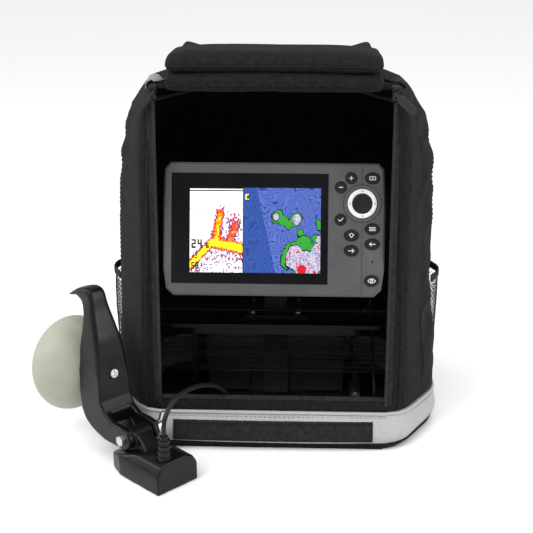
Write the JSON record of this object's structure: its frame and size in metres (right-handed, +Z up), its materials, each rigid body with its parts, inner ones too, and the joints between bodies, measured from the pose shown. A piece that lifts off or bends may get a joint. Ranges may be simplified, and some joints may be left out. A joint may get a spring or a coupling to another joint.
{
  "type": "portable fish finder",
  "caption": "Portable fish finder: a tilting sonar display on a battery shuttle in a padded carry bag, with a cabled transducer on a suction-cup arm.",
  "frame": {"origin": "centre of the bag's underside, on the surface it stands on", "axes": "+Z up, -Y towards the open front and the display's face, +X to the right seen from the front"},
  "size_m": [0.3762, 0.3021, 0.362],
  "materials": {
    "nylon": "woven nylon, matt",
    "band": "coated light grey cloth",
    "mesh": "stretch mesh",
    "webbing": "ribbed webbing",
    "loop": "hook and loop pile",
    "zip_metal": "gunmetal",
    "zip_tape": "zip tape and teeth",
    "moulding": "black, fine grain",
    "bezel": "dark grey, fine grain",
    "lens": "gloss screen window",
    "screen": "lit display",
    "keypad": "black rubber keys",
    "nav": "light grey ring",
    "gloss_black": "gloss black",
    "steel": "stainless",
    "cup_rubber": "pale grey soft rubber",
    "cable": "black cable sheath",
    "board": "green circuit board",
    "seal": "black gasket",
    "battery": "black battery case"
  },
  "bodies": {
    "bag": {"base_panel": "nylon", "base_band": "band", "back_panel": "nylon", "top_panel": "nylon", "front_lip": "nylon", "side_panels": "nylon", "mesh_pockets": "mesh", "pocket_binding": "webbing", "loop_strip": "loop", "shoulder_straps": "nylon", "strap_buckles": "moulding", "grab_handle": "webbing", "zip_tracks": "zip_tape", "shuttle_frame": "moulding", "battery_case": "battery", "battery_lid": "battery", "battery_strap": "webbing", "charge_socket": "steel", "mount_bracket": "moulding", "bracket_screws": "steel", "transducer_body": "gloss_black", "strain_relief": "cable", "cable_to_bag": "cable", "cable_coil": "cable", "cable_tie": "webbing", "cable_to_display": "cable"},
    "flap": {"flap_lower_fold": "nylon", "flap_upper_folds": "nylon", "flap_hook_strip": "loop"},
    "left_slider": {"zip_slider_left": "zip_metal"},
    "right_slider": {"zip_slider_right": "zip_metal"},
    "left_pull": {"zip_pull_left": "zip_metal"},
    "right_pull": {"zip_pull_right": "zip_metal"},
    "display": {"front_bezel": "bezel", "rear_housing": "bezel", "screen_lens": "lens", "lcd_module": "screen", "main_board": "board", "housing_seal": "seal", "housing_screws": "steel", "rear_sockets": "moulding", "cable_plug": "cable", "tilt_bolt": "steel"},
    "clamp_knob": {"tilt_knob": "moulding"},
    "nav_gimbal": {"nav_pivot": "keypad"},
    "nav_pad": {"nav_ring": "nav"},
    "arm": {"mount_arm": "gloss_black", "cup_screw": "steel", "pivot_bolt": "steel"},
    "nut": {"wing_nut": "steel"},
    "cup": {"suction_cup": "cup_rubber"},
    "plus_button": {"key_plus": "keypad"},
    "minus_button": {"key_minus": "keypad"},
    "check_button": {"key_check": "keypad"},
    "view_button": {"key_view": "keypad"},
    "menu_button": {"key_menu": "keypad"},
    "exit_button": {"key_exit": "keypad"},
    "mark_button": {"key_mark": "keypad"},
    "goto_button": {"key_goto": "keypad"},
    "power_button": {"key_power": "keypad"}
  },
  "joints": [
    {"name": "flap_fold", "type": "hinge", "parent": "bag", "child": "flap", "pos_m": [0, -0.093, 0.334], "axis": [1, 0, 0], "range_deg": [0, 195]},
    {"name": "left_zip", "type": "slide", "parent": "bag", "child": "left_slider", "axis": [0, -0.0527, -0.9986], "range_m": [0, 0.26]},
    {"name": "right_zip", "type": "slide", "parent": "bag", "child": "right_slider", "axis": [0, -0.0527, -0.9986], "range_m": [0, 0.26]},
    {"name": "left_pull_swing", "type": "hinge", "parent": "left_slider", "child": "left_pull", "pos_m": [-0.1032, -0.0868, 0.328], "axis": [-0.7071, 0, 0.7071], "range_deg": [0, 110]},
    {"name": "right_pull_swing", "type": "hinge", "parent": "right_slider", "child": "right_pull", "pos_m": [0.1032, -0.0868, 0.328], "axis": [-0.7071, 0, -0.7071], "range_deg": [0, 110]},
    {"name": "head_tilt", "type": "hinge", "parent": "bag", "child": "display", "pos_m": [0, -0.02122, 0.19331], "axis": [1, 0, 0], "range_deg": [-20, 15]},
    {"name": "clamp_knob_turn", "type": "hinge", "parent": "display", "child": "clamp_knob", "pos_m": [0, -0.02122, 0.19331], "axis": [1, 0, 0], "continuous": true},
    {"name": "nav_rock_up_down", "type": "hinge", "parent": "display", "child": "nav_gimbal", "pos_m": [0.0779, -0.06866, 0.2274], "axis": [1, 0, 0], "range_deg": [-4, 4], "stiffness_Nm_per_rad": 0.5},
    {"name": "nav_rock_left_right", "type": "hinge", "parent": "nav_gimbal", "child": "nav_pad", "pos_m": [0.0779, -0.06866, 0.2274], "axis": [0, 0.2756, 0.9613], "range_deg": [-4, 4], "stiffness_Nm_per_rad": 0.5},
    {"name": "arm_pivot", "type": "hinge", "parent": "bag", "child": "arm", "pos_m": [-0.11887, -0.13653, 0.032], "axis": [0.6884, 0.7254, 0], "range_deg": [-4, 28]},
    {"name": "wing_nut_turn", "type": "hinge", "parent": "arm", "child": "nut", "pos_m": [-0.11887, -0.13653, 0.032], "axis": [0.6884, 0.7254, 0], "continuous": true},
    {"name": "cup_turn", "type": "hinge", "parent": "arm", "child": "cup", "pos_m": [-0.14244, -0.11416, 0.0805], "axis": [-0.7183, 0.6817, -0.1392], "continuous": true},
    {"name": "plus_press", "type": "slide", "parent": "display", "child": "plus_button", "axis": [0, 0.9613, -0.2756], "range_m": [0, 0.0008], "stiffness_N_per_m": 800},
    {"name": "minus_press", "type": "slide", "parent": "display", "child": "minus_button", "axis": [0, 0.9613, -0.2756], "range_m": [0, 0.0008], "stiffness_N_per_m": 800},
    {"name": "check_press", "type": "slide", "parent": "display", "child": "check_button", "axis": [0, 0.9613, -0.2756], "range_m": [0, 0.0008], "stiffness_N_per_m": 800},
    {"name": "view_press", "type": "slide", "parent": "display", "child": "view_button", "axis": [0, 0.9613, -0.2756], "range_m": [0, 0.0008], "stiffness_N_per_m": 800},
    {"name": "menu_press", "type": "slide", "parent": "display", "child": "menu_button", "axis": [0, 0.9613, -0.2756], "range_m": [0, 0.0008], "stiffness_N_per_m": 800},
    {"name": "exit_press", "type": "slide", "parent": "display", "child": "exit_button", "axis": [0, 0.9613, -0.2756], "range_m": [0, 0.0008], "stiffness_N_per_m": 800},
    {"name": "mark_press", "type": "slide", "parent": "display", "child": "mark_button", "axis": [0, 0.9613, -0.2756], "range_m": [0, 0.0008], "stiffness_N_per_m": 800},
    {"name": "goto_press", "type": "slide", "parent": "display", "child": "goto_button", "axis": [0, 0.9613, -0.2756], "range_m": [0, 0.0008], "stiffness_N_per_m": 800},
    {"name": "power_press", "type": "slide", "parent": "display", "child": "power_button", "axis": [0, 0.9613, -0.2756], "range_m": [0, 0.0008], "stiffness_N_per_m": 800}
  ]
}
